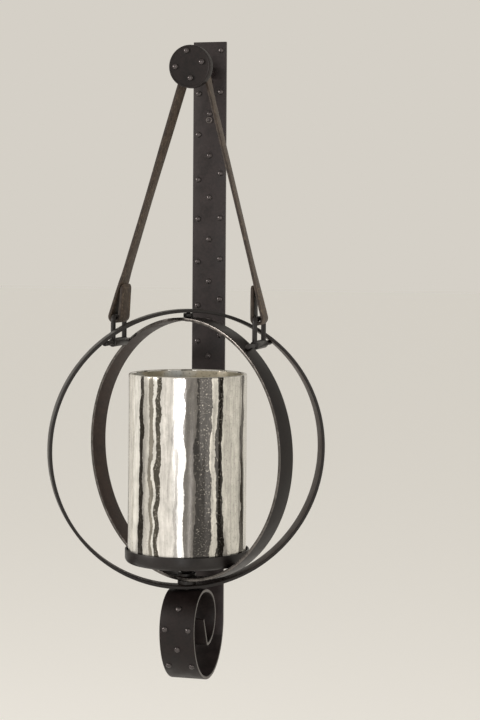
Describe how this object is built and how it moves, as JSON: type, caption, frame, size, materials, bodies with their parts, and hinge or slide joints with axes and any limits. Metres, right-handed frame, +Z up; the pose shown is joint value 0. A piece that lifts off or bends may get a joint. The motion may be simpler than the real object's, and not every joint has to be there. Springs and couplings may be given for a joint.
{
  "type": "wall sconce candle holder",
  "caption": "Wall sconce: studded iron strip with a scroll foot, crossed hoops round a mercury-glass candle cylinder in a pan, hung from a leather strap over a round boss.",
  "frame": {"origin": "on the wall strip's back face, on its centreline, level with the centre of the two hoops", "axes": "+Z up, +Y into the wall, so the sconce stands out along -Y, +X to the right as seen from the room"},
  "size_m": [0.2586, 0.1472, 0.6512],
  "materials": {
    "black_iron": "satin brown-black paint over forged strip",
    "old_iron": "brown-black paint, rubbed to bare metal on edges",
    "leather": "grained brown leather with darker cut edges",
    "mercury_glass": "silvered inside, speckled and streaked",
    "steel": "darkened steel fixings"
  },
  "bodies": {
    "root": {"wall_strip": "black_iron", "wall_screw_1": "steel", "wall_screw_2": "steel", "scroll_stud_1": "black_iron", "scroll_stud_2": "black_iron", "scroll_stud_3": "black_iron", "scroll_stud_4": "black_iron", "scroll_stud_5": "black_iron", "scroll_stud_6": "black_iron", "peg": "black_iron", "disc": "black_iron", "disc_stud_1": "black_iron", "disc_stud_2": "black_iron", "disc_stud_3": "black_iron", "disc_stud_4": "black_iron", "hoop_outer": "old_iron", "hoop_inner": "old_iron", "top_washer": "old_iron", "foot_washer": "old_iron", "top_rivet": "old_iron", "rod_left": "old_iron", "staple_left": "old_iron", "rod_right": "old_iron", "staple_right": "old_iron", "strap": "leather", "pan": "old_iron", "post_collar": "old_iron", "post": "old_iron", "centre_bolt": "steel", "foot_lock_washer": "steel", "foot_nut": "steel"},
    "glass": {"glass": "mercury_glass"}
  },
  "joints": [
    {"name": "glass_lift", "type": "slide", "parent": "root", "child": "glass", "axis": [0, 0, 1], "range_m": [0, 0.036]}
  ]
}
